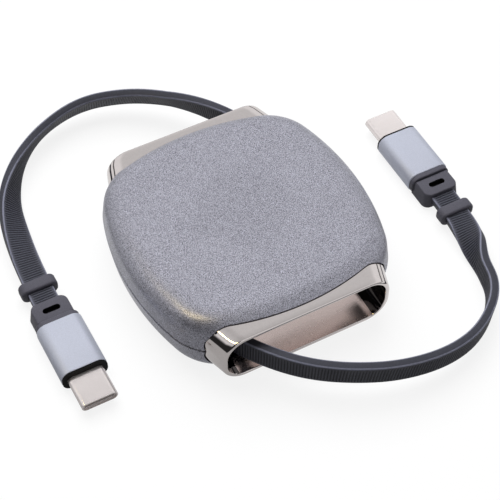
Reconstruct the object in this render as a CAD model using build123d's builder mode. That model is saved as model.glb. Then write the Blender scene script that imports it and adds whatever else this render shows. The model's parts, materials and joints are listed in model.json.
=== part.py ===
from build123d import *
import os
from math import cos, pi, radians, sin, tan

os.makedirs("parts", exist_ok=True)

# A retractable charging cable: a round-cornered housing with a sprung reel, two chromed cable
# mouths, and a flat cable that leaves each mouth on edge and ends in a small plug.
# Millimetres. +Z is up, the housing stands on Z = 0, the front mouth faces -Y, and the origin
# is under the middle of the housing.

# Housing
body_width = 58.0
body_length = 58.4
body_height = 17.2
side_bulge_radius = 60.0
corner_radius = 13.2
side_draft = 7.0
edge_round = 5.6
inner_bevel = 2.6
crown_rise = 0.35
shell_wall = 1.6
lip_height = 1.2
lip_thickness = 0.7
lip_clearance = 0.1
lip_root = 1.5

# Collars
overall_length = 58.8
collar_width = 40.0
collar_height = 13.1
collar_corner = 5.4
collar_taper = 18.0
collar_wall = 0.9
collar_depth = 9.4
collar_bevel = 0.3
collar_seam = 0.1
recess_depth = 4.8
recess_back_wall = 0.8
cable_door_width = 8.6
stop_rib_thickness = 0.9
stop_rib_length = 30.0
stop_rib_overlap = 1.1

# Cable
cable_width = 6.0
cable_thickness = 2.0
cable_edge = 0.4
winding_radius = 20.4
cable_side_gap = 0.2

# Reel
axle_radius = 3.0
axle_clearance = 0.06
reel_end_play = 0.1
reel_head_gap = 0.6
arbor_radius = 4.2
hub_radius = 8.0
hub_wall = 1.4
hub_bush_wall = 1.4
flange_radius = 23.4
flange_thickness = 0.8
winding_gap = 0.05
spring_drum_radius = 17.0
spring_drum_wall = 1.2
drum_floor_gap = 0.4

# Mainspring
spring_strip = 0.25
spring_turns = 7
spring_edge_gap = 0.15

# Cam track and pawl
cam_rib_height = 1.0
cam_rib_width = 1.0
cam_inner_radius = 11.0
cam_outer_radius = 17.4
island_inner_radius = 13.2
island_outer_radius = 15.2
island_span = 56.0
island_count = 4
island_turn = 2.0
latch_notch_radius = 1.1
peg_radius = 0.7
peg_gap = 0.2
pawl_arm = 9.8
pawl_thickness = 1.2
pawl_hub_radius = 2.0
pawl_pin_radius = 1.0
pawl_pin_clearance = 0.05
pawl_width = 2.2

# Reel screw
washer_radius = 5.0
washer_thickness = 0.4
screw_head_radius = 2.6
screw_head_height = 1.0
screw_shank_radius = 0.9
screw_length = 6.0
screw_drive_radius = 0.8
screw_drive_depth = 0.5

# Plugs
plug_shell_width = 8.25
plug_shell_height = 2.4
plug_shell_wall = 0.3
plug_shell_reach = 7.6
plug_shell_seat = 4.5
sleeve_width = 10.5
sleeve_height = 5.5
sleeve_length = 14.1
sleeve_corner = 2.3
sleeve_wall = 0.45
sleeve_edge = 0.25
insert_setback = 0.3
liner_setback = 0.4
tongue_slot_width = 6.9
tongue_slot_height = 0.95
contact_count = 12
contact_pitch = 0.5
contact_width = 0.26
contact_thickness = 0.12
contact_length = 4.2
flange_inset = 0.2
boot_flange = 1.2
boot_width = 8.8
boot_height = 3.9
boot_length = 5.0
boot_corner = 1.7
boot_draft = 12.0
boot_edge = 0.3
boot_root = 0.4
boot_slot_length = 4.1
boot_slot_width = 1.2
bead_width = 8.6
bead_height = 4.0
bead_length = 3.0
bead_corner = 1.6
bead_edge = 0.6
bead_gap = 4.0
bead_clearance = 0.05

# Cable routes: the middle line of each cable from the reel to the back of its plug's boot
right_plug_x = 48.3
left_plug_x = -45.2
plug_back_y = 1.0
left_plug_advance = 0.8

# Derived places
mid_height = body_height / 2
mouth_y = overall_length / 2
axle_top = body_height - shell_wall - reel_head_gap - screw_head_height - washer_thickness
cam_top = axle_top
cap_top = cam_top - cam_rib_height
reel_ceiling = cap_top - flange_thickness
reel_floor = reel_ceiling - cable_width - 2 * cable_side_gap
drum_base = reel_floor - flange_thickness
cable_level = (reel_floor + reel_ceiling) / 2
pawl_base = cam_top + peg_gap
plug_height = sleeve_height / 2
left_back_y = plug_back_y - left_plug_advance
boot_reach = boot_flange + boot_length
bush_radius = axle_radius + axle_clearance + hub_bush_wall

front_points = [
    (-21.3, -4.6, cable_level),
    (-19.35, -13.4, cable_level),
    (-16.6, -22.2, cable_level),
    (-11.7, -30.4, cable_level),
    (-5.4, -37.4, 8.4),
    (2.9, -42.8, 7.8),
    (13.1, -46.5, 6.7),
    (24.2, -47.4, 5.4),
    (34.2, -44.8, 4.4),
    (42.6, -37.9, 3.7),
    (45.9, -28.2, 3.2),
    (right_plug_x, -17.6, plug_height),
    (right_plug_x, -plug_back_y - boot_reach, plug_height),
]
rear_points = [
    (21.3, 4.6, cable_level),
    (19.35, 13.4, cable_level),
    (16.9, 22.3, cable_level),
    (14.0, 31.7, 8.5),
    (9.3, 40.3, 8.1),
    (2.9, 48.0, 7.2),
    (-5.2, 54.0, 6.1),
    (-15.5, 56.9, 5.2),
    (-26.2, 54.6, 4.4),
    (-35.0, 48.5, 3.7),
    (-41.0, 39.8, 3.35),
    (-44.0, 29.0, 3.1),
    (left_plug_x, 17.2, plug_height),
    (left_plug_x, left_back_y + boot_reach, plug_height),
]
front_twist_start = 25.0
rear_twist_start = 55.0
twist_end = 7.5
front_lean = 4.0
rear_lean = -22.0
lean_start = 28.0
lean_full = 46.0
cable_step = 3.0


def bend_radii(points):
    """Radius at each inner point: the arc takes 0.45 of the shorter run beside it."""
    radii = []
    for before, here, after in zip(points, points[1:], points[2:]):
        run_in = Vector(here) - Vector(before)
        run_out = Vector(after) - Vector(here)
        half_turn = radians(run_in.get_angle(run_out)) / 2
        radii.append(0.45 * min(run_in.length, run_out.length) / tan(half_turn))
    return radii


def body_plan(inset):
    """Outline of the housing seen from above, drawn in by inset."""
    half_width = body_width / 2 - inset
    half_length = body_length / 2 - inset
    bulge = side_bulge_radius - inset
    with BuildSketch(Plane.XY.offset(mid_height)) as outline:
        with Locations(Location((half_width - bulge, 0, 0), (0, 0, 180))):
            Circle(bulge)
        with Locations((bulge - half_width, 0)):
            Circle(bulge, mode=Mode.INTERSECT)
        with Locations(Location((0, half_length - bulge, 0), (0, 0, -90))):
            Circle(bulge, mode=Mode.INTERSECT)
        with Locations(Location((0, bulge - half_length, 0), (0, 0, 90))):
            Circle(bulge, mode=Mode.INTERSECT)
        fillet(outline.vertices(), corner_radius - inset)
    return outline.sketch


def domed_half(inset):
    """Upper half of the housing's form, drawn in by inset: drafted sides, crown, rounded edge."""
    height = mid_height - inset
    crown_radius = (body_width / 2) ** 2 / (2 * crown_rise)
    with BuildPart() as half:
        extrude(body_plan(inset), amount=height, taper=side_draft)
        with Locations((0, 0, mid_height + height - crown_radius)):
            Sphere(crown_radius, rotation=(90, 0, 0), mode=Mode.INTERSECT)
        top_edges = half.faces().sort_by(Axis.Z)[-1].edges()
        if inset:
            chamfer(top_edges, inner_bevel)
        else:
            fillet(top_edges, edge_round)
    return half.part


def flat_half(inset):
    """Lower half of the housing's form, drawn in by inset: drafted sides, flat base, rounded edge."""
    with BuildPart() as half:
        extrude(body_plan(inset), amount=inset - mid_height, taper=side_draft)
        base_edges = half.faces().sort_by(Axis.Z)[0].edges()
        if inset:
            chamfer(base_edges, inner_bevel)
        else:
            fillet(base_edges, edge_round)
    return half.part


def collar_block(growth, outer_y, inner_y):
    """Tapered block of a collar's outside, grown all round, between two distances from the middle."""
    with BuildPart() as block:
        for distance in (outer_y, inner_y):
            width = collar_width + 2 * (mouth_y - distance) * tan(radians(collar_taper))
            with BuildSketch(Plane.XZ.offset(distance)):
                with Locations((0, mid_height)):
                    RectangleRounded(width + 2 * growth, collar_height + 2 * growth, collar_corner + growth)
        loft(ruled=True)
    return block.part


def plug_plane(side_x, heading, back_y, reach):
    """Plane across a plug, at a distance forward of the back of its sleeve."""
    return Plane(
        origin=(side_x, heading * (reach - back_y), plug_height),
        x_dir=(heading, 0, 0),
        z_dir=(0, heading, 0),
    )


def boot_block(side_x, heading, back_y):
    """Drafted block behind a boot's flange, with round rear corners and an eased top."""
    block_length = boot_length + boot_root
    slope = tan(radians(boot_draft))
    levels = (
        (0, 0),
        (boot_height - boot_edge, (boot_height - boot_edge) * slope),
        (boot_height, boot_height * slope + boot_edge),
    )
    with BuildPart() as block:
        for level, inset in levels:
            with BuildSketch(Plane.XY.offset(plug_height - boot_height / 2 + level)) as plan:
                with Locations((side_x, -heading * (back_y + boot_reach - block_length / 2))):
                    Rectangle(boot_width - 2 * inset, block_length - 2 * inset)
                fillet(plan.vertices().group_by(Axis.Y)[0 if heading > 0 else -1], boot_corner - inset)
        loft(ruled=True)
    return block.part


# Collars: chromed mouths with a shallow recess and a door for the cable beside it
recess_width = collar_width - 2 * collar_wall
recess_height = collar_height - 2 * collar_wall
recess_floor_y = mouth_y - recess_depth
recess_back_y = recess_floor_y - recess_back_wall
collar_end_y = mouth_y - collar_depth
with BuildPart() as front_collar:
    add(collar_block(0, mouth_y - collar_bevel, collar_end_y))
    with BuildSketch(Plane.XZ.offset(mouth_y - collar_bevel)):
        with Locations((0, mid_height)):
            RectangleRounded(collar_width, collar_height, collar_corner)
    with BuildSketch(Plane.XZ.offset(mouth_y)):
        with Locations((0, mid_height)):
            RectangleRounded(
                collar_width - 2 * collar_bevel, collar_height - 2 * collar_bevel, collar_corner - collar_bevel
            )
    loft(ruled=True)
    with BuildSketch(Plane.XZ.offset(mouth_y)):
        with Locations((0, mid_height)):
            RectangleRounded(recess_width, recess_height, collar_corner - collar_wall)
    extrude(amount=-recess_depth, mode=Mode.SUBTRACT)
    add(collar_block(-collar_wall, recess_back_y, collar_end_y), mode=Mode.SUBTRACT)
    with BuildSketch(Plane.XZ.offset(recess_floor_y)):
        with Locations((0, mid_height)):
            RectangleRounded(recess_width, recess_height, collar_corner - collar_wall)
        with Locations((cable_door_width / 2 - recess_width / 2, mid_height)):
            Rectangle(cable_door_width, recess_height, mode=Mode.INTERSECT)
    extrude(amount=-recess_back_wall, mode=Mode.SUBTRACT)
front_collar.part.label = "front_collar"
export_step(front_collar.part, "parts/front_collar.step")

with BuildPart() as rear_collar:
    add(front_collar.part, rotation=(0, 0, 180))
rear_collar.part.label = "rear_collar"
export_step(rear_collar.part, "parts/rear_collar.step")

collar_cut = collar_block(collar_seam, mouth_y + collar_depth, collar_end_y - collar_seam)
stop_rib_y = collar_end_y - collar_seam - stop_rib_thickness / 2
rib_top_z = mid_height + collar_height / 2 - stop_rib_overlap
rib_low_z = mid_height - collar_height / 2 + stop_rib_overlap

# Top shell: domed half with stops behind the collars and the pawl's pivot pin
pawl_pin_x = (island_outer_radius + cam_outer_radius) / 2
pawl_pin_y = pawl_arm
with BuildPart() as top_shell:
    add(domed_half(0))
    add(domed_half(shell_wall), mode=Mode.SUBTRACT)
    with Locations((0, stop_rib_y, rib_top_z), (0, -stop_rib_y, rib_top_z)):
        Box(
            stop_rib_length, stop_rib_thickness, body_height - shell_wall / 2 - rib_top_z,
            align=(Align.CENTER, Align.CENTER, Align.MIN),
        )
    with Locations((pawl_pin_x, pawl_pin_y, pawl_base)):
        Cylinder(
            pawl_pin_radius, body_height - shell_wall - pawl_base + shell_wall / 2,
            align=(Align.CENTER, Align.CENTER, Align.MIN),
        )
    add(collar_cut, mode=Mode.SUBTRACT)
    add(collar_cut, rotation=(0, 0, 180), mode=Mode.SUBTRACT)
top_shell.part.label = "top_shell"
export_step(top_shell.part, "parts/top_shell.step")

# Bottom shell: flat half with the locating lip, the collar stops, the spring's arbor and the axle
with BuildPart() as bottom_shell:
    add(flat_half(0))
    add(flat_half(shell_wall), mode=Mode.SUBTRACT)
    lip_inset = shell_wall + lip_clearance
    extrude(body_plan(shell_wall - lip_clearance), amount=-lip_root)
    extrude(body_plan(lip_inset), amount=lip_height, taper=side_draft)
    extrude(body_plan(lip_inset + lip_thickness), amount=lip_height, taper=side_draft, mode=Mode.SUBTRACT)
    extrude(body_plan(lip_inset + lip_thickness), amount=-lip_root, mode=Mode.SUBTRACT)
    with Locations((0, stop_rib_y, rib_low_z), (0, -stop_rib_y, rib_low_z)):
        Box(
            stop_rib_length, stop_rib_thickness, rib_low_z - shell_wall / 2,
            align=(Align.CENTER, Align.CENTER, Align.MAX),
        )
    add(collar_cut, mode=Mode.SUBTRACT)
    add(collar_cut, rotation=(0, 0, 180), mode=Mode.SUBTRACT)
    with Locations((0, 0, shell_wall / 2)):
        Cylinder(
            arbor_radius, drum_base - reel_end_play - shell_wall / 2,
            align=(Align.CENTER, Align.CENTER, Align.MIN),
        )
        Cylinder(axle_radius, axle_top - shell_wall / 2, align=(Align.CENTER, Align.CENTER, Align.MIN))
    with Locations((0, 0, axle_top)):
        Cylinder(
            screw_shank_radius, screw_length, align=(Align.CENTER, Align.CENTER, Align.MAX), mode=Mode.SUBTRACT
        )
bottom_shell.part.label = "bottom_shell"
export_step(bottom_shell.part, "parts/bottom_shell.step")

# Reel drum: lower flange with the spring chamber under it, hub wall with two cable slots, bush
bush_top = axle_top - reel_end_play
with BuildPart() as reel_drum:
    with BuildSketch(Plane.XY.offset(drum_base)):
        Circle(flange_radius)
    extrude(amount=flange_thickness)
    with BuildSketch(Plane.XY.offset(reel_floor)):
        Circle(hub_radius)
        Circle(hub_radius - hub_wall, mode=Mode.SUBTRACT)
        with PolarLocations(hub_radius - hub_wall / 2, 2):
            Rectangle(2 * hub_wall, cable_thickness + 2 * cable_side_gap, mode=Mode.SUBTRACT)
    extrude(amount=reel_ceiling - reel_floor)
    with BuildSketch(Plane.XY.offset(reel_floor)):
        Circle(bush_radius)
    extrude(amount=bush_top - reel_floor)
    with BuildSketch(Plane.XY.offset(drum_base)):
        Circle(spring_drum_radius)
        Circle(spring_drum_radius - spring_drum_wall, mode=Mode.SUBTRACT)
    extrude(amount=shell_wall + drum_floor_gap - drum_base)
    with BuildSketch(Plane.XY.offset(drum_base)):
        Circle(axle_radius + axle_clearance)
    extrude(amount=bush_top - drum_base, mode=Mode.SUBTRACT)
reel_drum.part.label = "reel_drum"
export_step(reel_drum.part, "parts/reel_drum.step")

# Reel cap: upper flange with the two-lane cam track and its latch islands
with BuildPart() as reel_cap:
    with BuildSketch(Plane.XY.offset(reel_ceiling)):
        Circle(flange_radius)
        Circle(bush_radius + winding_gap, mode=Mode.SUBTRACT)
    extrude(amount=flange_thickness)
    with BuildSketch(Plane.XY.offset(cap_top)):
        for wall_radius in (cam_inner_radius, cam_outer_radius + cam_rib_width):
            Circle(wall_radius)
            Circle(wall_radius - cam_rib_width, mode=Mode.SUBTRACT)
    extrude(amount=cam_rib_height)
    island_radius = (island_inner_radius + island_outer_radius) / 2
    island_width = island_outer_radius - island_inner_radius
    with BuildSketch(Plane.XY.offset(cap_top)):
        for island in range(island_count):
            middle = island_turn + (island + 0.5) * 360 / island_count
            with BuildLine():
                CenterArc((0, 0), island_radius, middle - island_span / 2, island_span)
            trace(line_width=island_width)
        with PolarLocations(island_inner_radius, island_count, island_turn + 180 / island_count):
            Circle(latch_notch_radius, mode=Mode.SUBTRACT)
    extrude(amount=cam_rib_height)
reel_cap.part.label = "reel_cap"
export_step(reel_cap.part, "parts/reel_cap.step")

# The cable that is still wound on the reel
with BuildPart() as cable_winding:
    with BuildSketch(Plane.XY.offset(cable_level - cable_width / 2)):
        Circle(winding_radius)
        Circle(hub_radius + winding_gap, mode=Mode.SUBTRACT)
    extrude(amount=cable_width)
cable_winding.part.label = "cable_winding"
export_step(cable_winding.part, "parts/cable_winding.step")

# Mainspring: a flat strip wound in half turns that widen from the arbor to the drum's wall
spring_inner = arbor_radius + spring_strip
spring_outer = spring_drum_radius - spring_drum_wall - spring_strip
half_turns = 2 * spring_turns
spring_step = (spring_outer - spring_inner) / half_turns
with BuildPart() as mainspring:
    with BuildSketch(Plane.XY.offset(shell_wall + drum_floor_gap + spring_edge_gap)):
        for half_turn in range(half_turns):
            side = -1 if half_turn % 2 == 0 else 1
            turn_radius = spring_inner + (half_turn + 0.5) * spring_step
            with BuildLine():
                CenterArc((side * spring_step / 2, 0), turn_radius, 90 + side * 90, 180)
            trace(line_width=spring_strip)
    extrude(amount=drum_base - shell_wall - drum_floor_gap - 2 * spring_edge_gap)
mainspring.part.label = "mainspring"
export_step(mainspring.part, "parts/mainspring.step")

# Washer and screw that hold the reel down on its axle
with BuildPart() as reel_washer:
    with BuildSketch(Plane.XY.offset(axle_top)):
        Circle(washer_radius)
        Circle(screw_shank_radius + axle_clearance, mode=Mode.SUBTRACT)
    extrude(amount=washer_thickness)
reel_washer.part.label = "reel_washer"
export_step(reel_washer.part, "parts/reel_washer.step")

with BuildPart() as reel_screw:
    with BuildSketch(Plane.XY.offset(axle_top + washer_thickness)):
        Circle(screw_head_radius)
    extrude(amount=screw_head_height)
    chamfer(reel_screw.edges().sort_by(Axis.Z)[-1], screw_head_height / 3)
    with BuildSketch(Plane.XY.offset(axle_top + washer_thickness)):
        Circle(screw_shank_radius)
    extrude(amount=-screw_length)
    with BuildSketch(Plane.XY.offset(axle_top + washer_thickness + screw_head_height)):
        Rectangle(2 * screw_drive_radius, screw_drive_radius / 2)
        Rectangle(screw_drive_radius / 2, 2 * screw_drive_radius)
    extrude(amount=-screw_drive_depth, mode=Mode.SUBTRACT)
reel_screw.part.label = "reel_screw"
export_step(reel_screw.part, "parts/reel_screw.step")

# Pawl: an arm on the top shell's pin, with the peg that runs in the cam track
with BuildPart() as lock_pawl:
    with BuildSketch(Plane.XY.offset(pawl_base)):
        with Locations((pawl_pin_x, pawl_pin_y)):
            Circle(pawl_hub_radius)
        with Locations((pawl_pin_x, pawl_pin_y - pawl_arm / 2)):
            SlotCenterToCenter(pawl_arm, pawl_width, rotation=90)
        with Locations((pawl_pin_x, pawl_pin_y)):
            Circle(pawl_pin_radius + pawl_pin_clearance, mode=Mode.SUBTRACT)
    extrude(amount=pawl_thickness)
    with BuildSketch(Plane.XY.offset(pawl_base)):
        with Locations((pawl_pin_x, pawl_pin_y - pawl_arm)):
            Circle(peg_radius)
    extrude(amount=cap_top + peg_gap - pawl_base)
lock_pawl.part.label = "lock_pawl"
export_step(lock_pawl.part, "parts/lock_pawl.step")

# Plugs: connector shell, liner with contacts, insert, sleeve, boot and cable bead, one set per end
for side, side_x, heading, back_y in (
    ("right", right_plug_x, 1, plug_back_y),
    ("left", left_plug_x, -1, left_back_y),
):
    front = sleeve_length - insert_setback
    tip = sleeve_length + plug_shell_reach
    seat = sleeve_length - plug_shell_seat

    with BuildPart() as sleeve:
        with BuildSketch(plug_plane(side_x, heading, back_y, 0)):
            RectangleRounded(sleeve_width, sleeve_height, sleeve_corner)
            offset(amount=-sleeve_wall, mode=Mode.SUBTRACT)
        extrude(amount=sleeve_length)
        rims = sleeve.faces().filter_by(Axis.Y)
        chamfer([rim.outer_wire().edges() for rim in rims], sleeve_edge)
    sleeve.part.label = side + "_plug_sleeve"
    export_step(sleeve.part, "parts/" + side + "_plug_sleeve.step")

    with BuildPart() as insert:
        with BuildSketch(plug_plane(side_x, heading, back_y, 0)):
            RectangleRounded(sleeve_width, sleeve_height, sleeve_corner)
            offset(amount=-sleeve_wall, mode=Mode.REPLACE)
        extrude(amount=front)
        with BuildSketch(plug_plane(side_x, heading, back_y, seat)):
            SlotOverall(plug_shell_width, plug_shell_height)
        extrude(amount=front - seat, mode=Mode.SUBTRACT)
    insert.part.label = side + "_plug_insert"
    export_step(insert.part, "parts/" + side + "_plug_insert.step")

    with BuildPart() as shell:
        with BuildSketch(plug_plane(side_x, heading, back_y, seat)):
            SlotOverall(plug_shell_width, plug_shell_height)
            SlotOverall(
                plug_shell_width - 2 * plug_shell_wall, plug_shell_height - 2 * plug_shell_wall, mode=Mode.SUBTRACT
            )
        extrude(amount=tip - seat)
        rim = shell.faces().sort_by(Axis.Y)[-1 if heading > 0 else 0]
        fillet(rim.outer_wire().edges(), plug_shell_wall / 2)
    shell.part.label = side + "_plug_shell"
    export_step(shell.part, "parts/" + side + "_plug_shell.step")

    with BuildPart() as liner:
        with BuildSketch(plug_plane(side_x, heading, back_y, seat)):
            SlotOverall(plug_shell_width - 2 * plug_shell_wall, plug_shell_height - 2 * plug_shell_wall)
        extrude(amount=tip - liner_setback - seat)
        with BuildSketch(plug_plane(side_x, heading, back_y, tip - liner_setback)):
            RectangleRounded(tongue_slot_width, tongue_slot_height, tongue_slot_height / 3)
        extrude(amount=-plug_shell_reach, mode=Mode.SUBTRACT)
    liner.part.label = side + "_plug_liner"
    export_step(liner.part, "parts/" + side + "_plug_liner.step")

    with BuildPart() as contacts:
        contact_rise = tongue_slot_height / 2 - contact_thickness / 2
        with BuildSketch(plug_plane(side_x, heading, back_y, tip - liner_setback - 1)):
            for rise in (contact_rise, -contact_rise):
                with Locations((0, rise)):
                    with GridLocations(contact_pitch, 0, contact_count, 1):
                        Rectangle(contact_width, contact_thickness)
        extrude(amount=-contact_length)
    contacts.part.label = side + "_plug_contacts"
    export_step(contacts.part, "parts/" + side + "_plug_contacts.step")

    with BuildPart() as boot:
        with BuildSketch(plug_plane(side_x, heading, back_y, 0)):
            RectangleRounded(
                sleeve_width - 2 * flange_inset, sleeve_height - 2 * flange_inset, sleeve_corner - flange_inset
            )
        extrude(amount=-boot_flange)
        add(boot_block(side_x, heading, back_y))
        with BuildSketch(Plane.XY.offset(plug_height - boot_height / 2)):
            with Locations((side_x, -heading * (back_y + boot_flange + boot_length * 0.42))):
                SlotOverall(boot_slot_length, boot_slot_width)
        extrude(amount=boot_height, mode=Mode.SUBTRACT)
    boot.part.label = side + "_plug_boot"
    export_step(boot.part, "parts/" + side + "_plug_boot.step")

    with BuildPart() as bead:
        with BuildSketch(plug_plane(side_x, heading, back_y, -boot_reach - bead_gap)):
            RectangleRounded(bead_width, bead_height, bead_corner)
        extrude(amount=-bead_length)
        ends = bead.faces().filter_by(Axis.Y)
        chamfer([end.outer_wire().edges() for end in ends], bead_edge)
        with BuildSketch(plug_plane(side_x, heading, back_y, -boot_reach - bead_gap)) as hole:
            Rectangle(cable_width + 2 * bead_clearance, cable_thickness + 2 * bead_clearance)
            chamfer(hole.vertices(), cable_edge)
        extrude(amount=-bead_length, mode=Mode.SUBTRACT)
    bead.part.label = side + "_cable_bead"
    export_step(bead.part, "parts/" + side + "_cable_bead.step")


# Cables: on edge from the reel, then rolled a quarter turn so that they lie flat at the plug
def cable_section(place, along, roll):
    """Plane across the cable whose X is the cable's width, rolled from on edge towards flat."""
    level = Vector(along.Y, -along.X, 0).normalized()
    upright = level.cross(along).normalized()
    wide = upright * cos(roll) + level * sin(roll)
    return Plane(origin=place, x_dir=wide, z_dir=along)


for name, points, twist_start, lean in (
    ("front_cable", front_points, front_twist_start, front_lean),
    ("rear_cable", rear_points, rear_twist_start, rear_lean),
):
    radii = bend_radii(points)
    print(name, "bend radii", [round(radius, 1) for radius in radii])
    with BuildLine() as route:
        FilletPolyline(*points, radius=radii)
    middle_line = route.wire()
    length = middle_line.length
    spans = round(length / cable_step)
    lean_span = round(lean_start / length * spans)
    twist_span = round((length - twist_start) / length * spans)
    with BuildPart() as cable:
        for first, last in ((0, lean_span), (lean_span, twist_span), (twist_span, spans)):
            for station in range(first, last + 1):
                share = station / spans
                leaned = (share * length - lean_start) / (lean_full - lean_start)
                leaned = min(max(leaned, 0.0), 1.0)
                rolled = (share * length - length + twist_start) / (twist_start - twist_end)
                rolled = min(max(rolled, 0.0), 1.0)
                rolled = rolled * rolled * (3 - 2 * rolled)
                roll = radians(lean * leaned * (1 - rolled) + 90 * rolled)
                with BuildSketch(cable_section(middle_line @ share, middle_line % share, roll)) as section:
                    Rectangle(cable_width, cable_thickness)
                    chamfer(section.vertices(), cable_edge)
            loft(ruled=True)
    area = cable_width * cable_thickness - 2 * cable_edge**2
    print(name, "length", round(length, 1), "volume", round(cable.part.volume, 1), "of", round(area * length, 1))
    cable.part.label = name
    export_step(cable.part, "parts/" + name + ".step")
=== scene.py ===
"""Dress the retractable charging cable: housing, collars, reel, flat cables and plugs."""
import json
import logging
import math
from dataclasses import dataclass, field, replace
from enum import Enum
from functools import cache
from itertools import accumulate, pairwise
from typing import Callable, Sequence

import bpy
from bpy.types import Material, MeshPolygon, Node, NodeSocket, NodeTree, Object
from mathutils import Matrix, Quaternion, Vector


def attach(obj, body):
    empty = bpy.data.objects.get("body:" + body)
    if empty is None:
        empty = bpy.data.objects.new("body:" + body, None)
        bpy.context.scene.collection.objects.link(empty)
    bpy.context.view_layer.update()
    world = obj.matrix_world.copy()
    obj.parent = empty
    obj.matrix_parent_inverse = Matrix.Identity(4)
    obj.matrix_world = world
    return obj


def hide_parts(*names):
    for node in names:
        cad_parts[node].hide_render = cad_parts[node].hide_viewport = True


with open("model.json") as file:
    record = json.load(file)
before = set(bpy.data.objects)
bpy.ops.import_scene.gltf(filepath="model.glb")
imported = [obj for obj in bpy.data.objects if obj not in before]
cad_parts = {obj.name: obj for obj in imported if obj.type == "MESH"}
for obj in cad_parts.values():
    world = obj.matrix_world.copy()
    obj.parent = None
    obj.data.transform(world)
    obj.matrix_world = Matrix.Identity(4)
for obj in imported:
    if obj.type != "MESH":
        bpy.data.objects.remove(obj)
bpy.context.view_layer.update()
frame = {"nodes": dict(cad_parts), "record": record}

log = logging.getLogger("charging_cable")
MM = 0.001
WELD = 1e-7  # points of a mesh nearer than this, in metres, become one
TOUCH = 1e-6  # places nearer than this, in metres, count as the same
FACING = 0.9  # a face whose normal reaches this far along an axis faces that way
FULL_ROUND = 0.4995  # corner of a bar with round sides, as a share of its height
Ring = list[Vector]
Pair = tuple[float, float]
Triple = tuple[float, float, float]
Color = tuple[float, float, float, float]
Inputs = dict[str | int, object]
Sockets = bpy.types.bpy_prop_collection


class Side(Enum):
    """The two ends of the cable, with the way that each plug points along Y."""

    RIGHT = 1
    LEFT = -1


class Mouth(Enum):
    """The two cable mouths of the housing, with the turn in degrees from the front one."""

    FRONT = 0.0
    REAR = 180.0


# Bench: selecting, shaping and finishing one object at a time
def clear_selection() -> None:
    """Leave edit mode and deselect every object."""
    if bpy.context.mode != "OBJECT":
        bpy.ops.object.mode_set(mode="OBJECT")
    bpy.ops.object.select_all(action="DESELECT")


def close_edit() -> None:
    """Go back from edit mode to object mode."""
    bpy.ops.object.mode_set(mode="OBJECT")


def take(piece: Object) -> None:
    """Make one object the only selected and the active one.

    Args:
        piece: the object.
    """
    clear_selection()
    piece.select_set(True)
    bpy.context.view_layer.objects.active = piece


def new_piece(name: str) -> Object:
    """Name the primitive that has just been added.

    Args:
        name: the piece's name.

    Returns:
        The new object.
    """
    piece = bpy.context.active_object
    piece.name = name
    piece.data.name = name
    return piece


def add_box(name: str, size: Triple, middle: Triple) -> Object:
    """Add a box with its size and place in its mesh.

    Args:
        name: the piece's name.
        size: its size along X, Y and Z.
        middle: its middle point.

    Returns:
        The new object.
    """
    clear_selection()
    bpy.ops.mesh.primitive_cube_add(size=1.0, location=middle)
    piece = new_piece(name)
    piece.scale = size
    bpy.ops.object.transform_apply(location=True, rotation=True, scale=True)
    return piece


def shift(piece: Object, x: float = 0.0, y: float = 0.0, z: float = 0.0) -> None:
    """Move a piece's mesh."""
    piece.data.transform(Matrix.Translation((x, y, z)))


def rotate(piece: Object, angle: float, axis: str) -> None:
    """Turn a piece's mesh about an axis through the origin."""
    piece.data.transform(Matrix.Rotation(angle, 4, axis))


def pick_faces(piece: Object, test: Callable[[MeshPolygon], bool]) -> None:
    """Enter edit mode with the faces that pass a test selected.

    Args:
        piece: the object to edit.
        test: tells for each face whether it is picked.
    """
    take(piece)
    mesh = piece.data
    for part in (mesh.vertices, mesh.edges):
        part.foreach_set("select", [False] * len(part))
    for face in mesh.polygons:
        face.select = test(face)
    bpy.context.tool_settings.mesh_select_mode = (False, False, True)
    bpy.ops.object.mode_set(mode="EDIT")


def pick_edges(piece: Object, test: Callable[[Vector, Vector], bool]) -> None:
    """Enter edit mode with the edges whose two ends pass a test selected.

    Args:
        piece: the object to edit.
        test: tells from an edge's two end points whether it is picked.
    """
    take(piece)
    mesh = piece.data
    mesh.vertices.foreach_set("select", [False] * len(mesh.vertices))
    mesh.polygons.foreach_set("select", [False] * len(mesh.polygons))
    for edge in mesh.edges:
        first, last = (mesh.vertices[corner].co for corner in edge.vertices)
        edge.select = test(first, last)
    bpy.context.tool_settings.mesh_select_mode = (False, True, False)
    bpy.ops.object.mode_set(mode="EDIT")


def bevel(
    piece: Object, test: Callable[[Vector, Vector], bool], size: float, steps: int
) -> None:
    """Round the edges whose two ends pass a test.

    Args:
        piece: the object to shape.
        test: tells from an edge's two end points whether it is rounded.
        size: how far the rounding reaches.
        steps: faces across it.
    """
    pick_edges(piece, test)
    bpy.ops.mesh.bevel(offset=size, segments=steps, profile=0.5, affect="EDGES")
    close_edit()


def close_mesh(piece: Object) -> None:
    """Merge doubled points and turn every face outwards.

    Args:
        piece: the object to mend.
    """
    take(piece)
    bpy.ops.object.mode_set(mode="EDIT")
    bpy.ops.mesh.select_all(action="SELECT")
    bpy.ops.mesh.remove_doubles(threshold=WELD)
    bpy.ops.mesh.normals_make_consistent(inside=False)
    close_edit()


def smooth(piece: Object, degrees: float = 32.0) -> None:
    """Shade a piece smooth where its faces meet at less than an angle."""
    take(piece)
    bpy.ops.object.shade_smooth_by_angle(angle=math.radians(degrees))


def cut_away(piece: Object, cutter: Object) -> None:
    """Take one closed form out of another and delete the form that cut it.

    Args:
        piece: the object that is cut.
        cutter: the object that cuts.
    """
    take(piece)
    cut = piece.modifiers.new("cut", "BOOLEAN")
    cut.operation = "DIFFERENCE"
    cut.solver = "EXACT"
    cut.object = cutter
    bpy.ops.object.modifier_apply(modifier=cut.name)
    bpy.data.objects.remove(cutter, do_unlink=True)


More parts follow.
